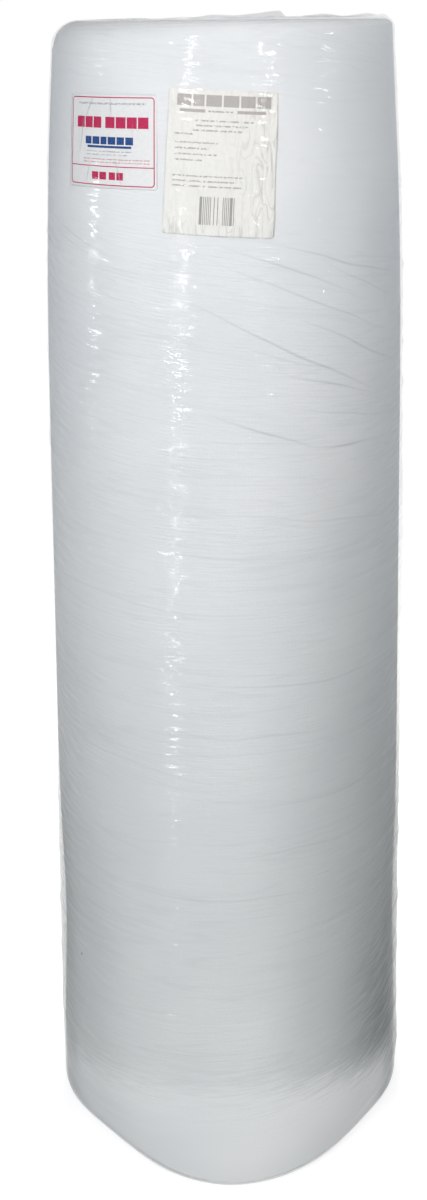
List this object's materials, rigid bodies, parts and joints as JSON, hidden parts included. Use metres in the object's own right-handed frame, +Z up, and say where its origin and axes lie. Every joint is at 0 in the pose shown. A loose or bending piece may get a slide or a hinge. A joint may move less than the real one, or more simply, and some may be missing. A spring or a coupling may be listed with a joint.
{
  "type": "insulation foam roll",
  "caption": "Upright roll of thin closed-cell insulation foam with an open centre, wrapped in clear stretch film over paper labels.",
  "frame": {"origin": "on the floor at the centre of the lower end, on the roll's axis", "axes": "+Z up along the roll's axis, -Y towards the labels, +X to the right seen from the front"},
  "size_m": [0.3885, 0.3884, 1.2205],
  "materials": {
    "foam": "soft closed-cell foam, matt",
    "film": "clear stretch film, glossy and crimped",
    "label_white": "white paper with a printed border",
    "label_cream": "plain off-white paper with faded print"
  },
  "bodies": {
    "root": {"foam_roll": "foam", "stretch_film": "film", "product_label": "label_white", "address_label": "label_cream"}
  },
  "joints": []
}
